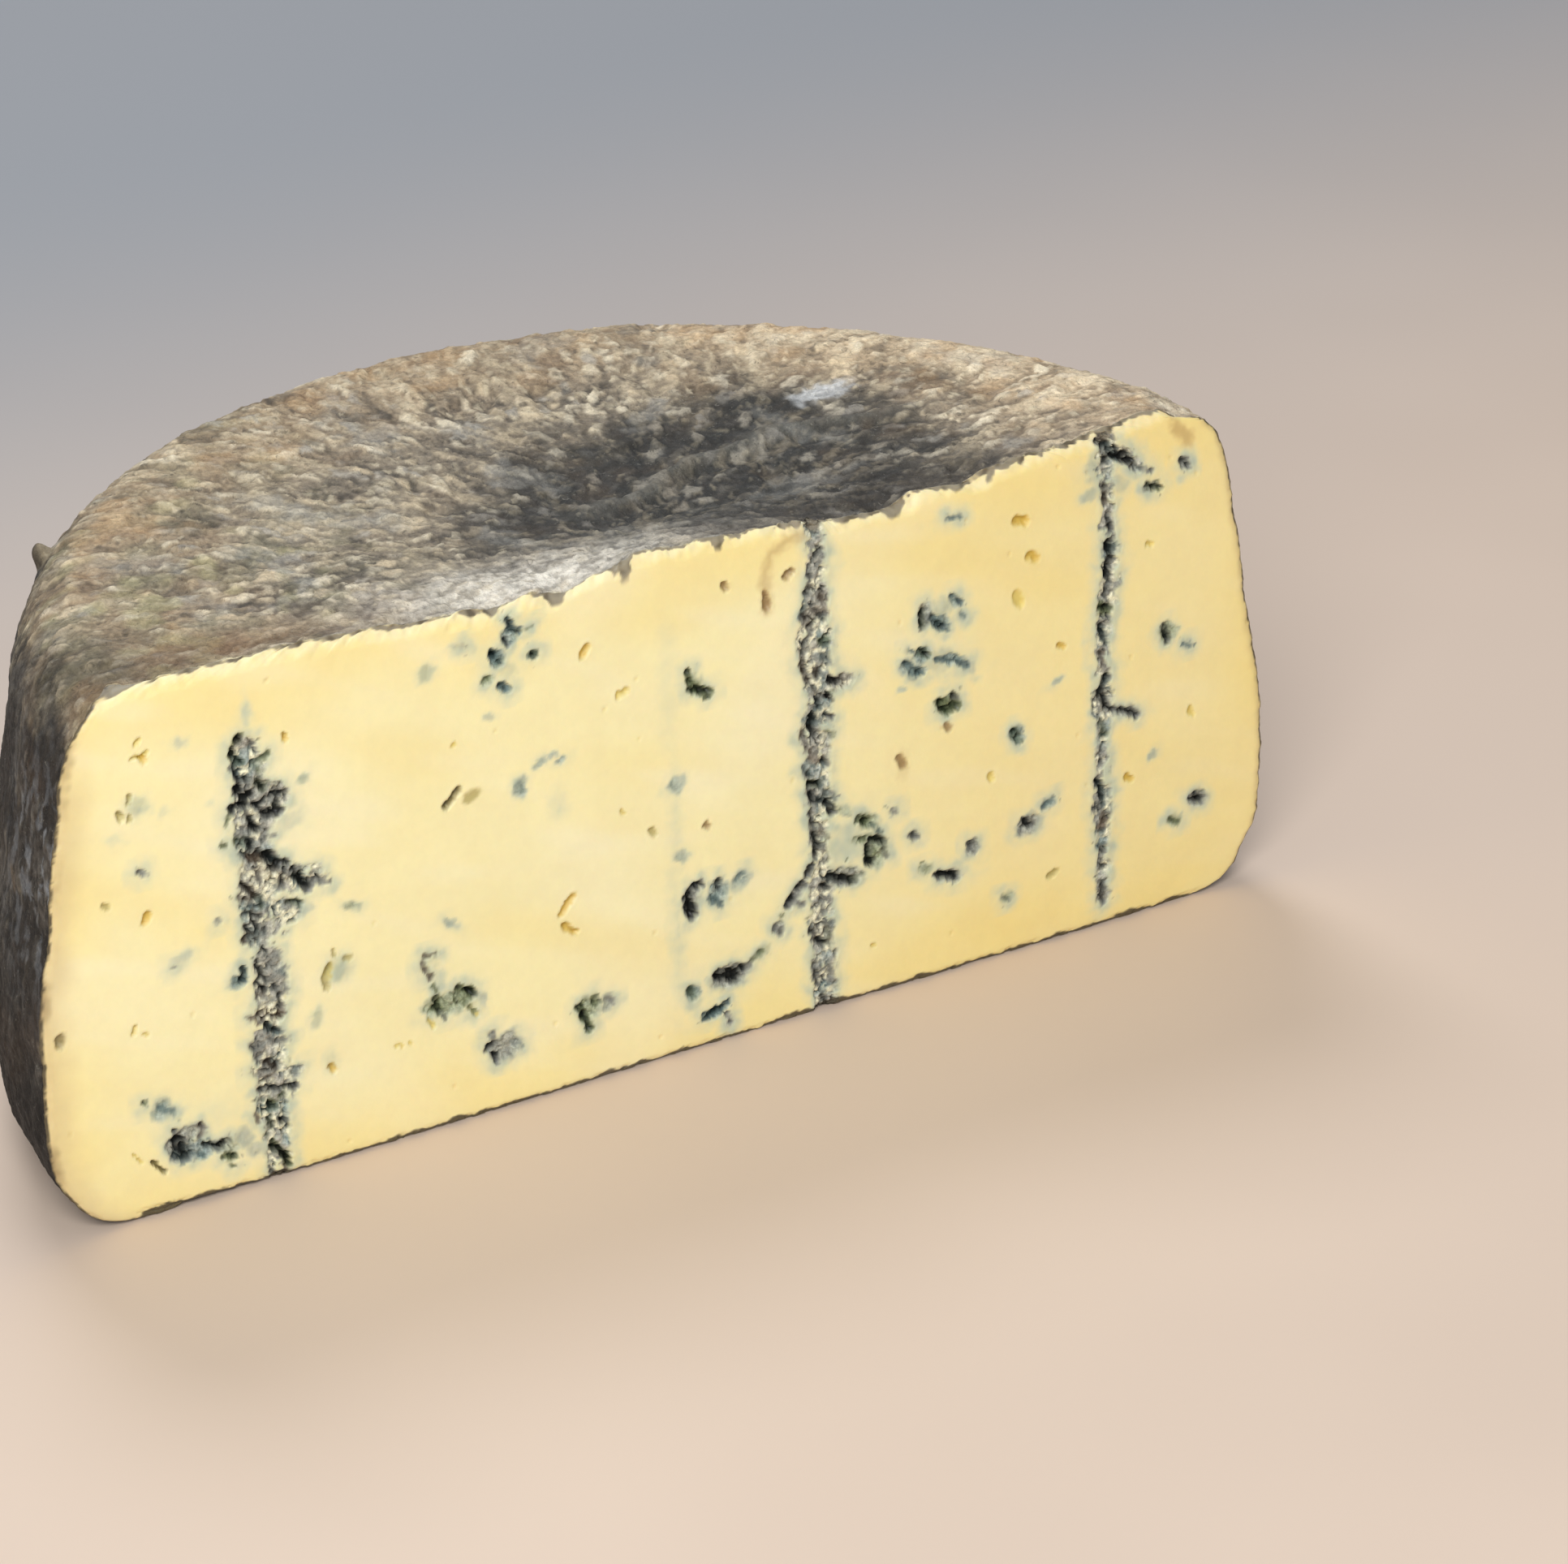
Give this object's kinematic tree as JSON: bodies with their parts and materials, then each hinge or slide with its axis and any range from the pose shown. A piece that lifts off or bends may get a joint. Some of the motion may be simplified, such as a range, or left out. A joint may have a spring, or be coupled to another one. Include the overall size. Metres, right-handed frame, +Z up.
{
  "type": "half blue cheese wheel",
  "caption": "Natural-rind blue cheese wheel cut in half, resting on its flat base with the veined cut face upright.",
  "frame": {"origin": "middle of the footprint's bounding box, on the resting face", "axes": "+Z up, +X along the cut face, +Y from the cut face into the wheel"},
  "size_m": [0.2922, 0.1414, 0.1169],
  "materials": {
    "cheese": "waxy pale yellow paste with blue-grey mould veins, and a dry mottled grey-brown natural rind"
  },
  "bodies": {
    "root": {"cheese_half_wheel": "cheese"}
  },
  "joints": []
}
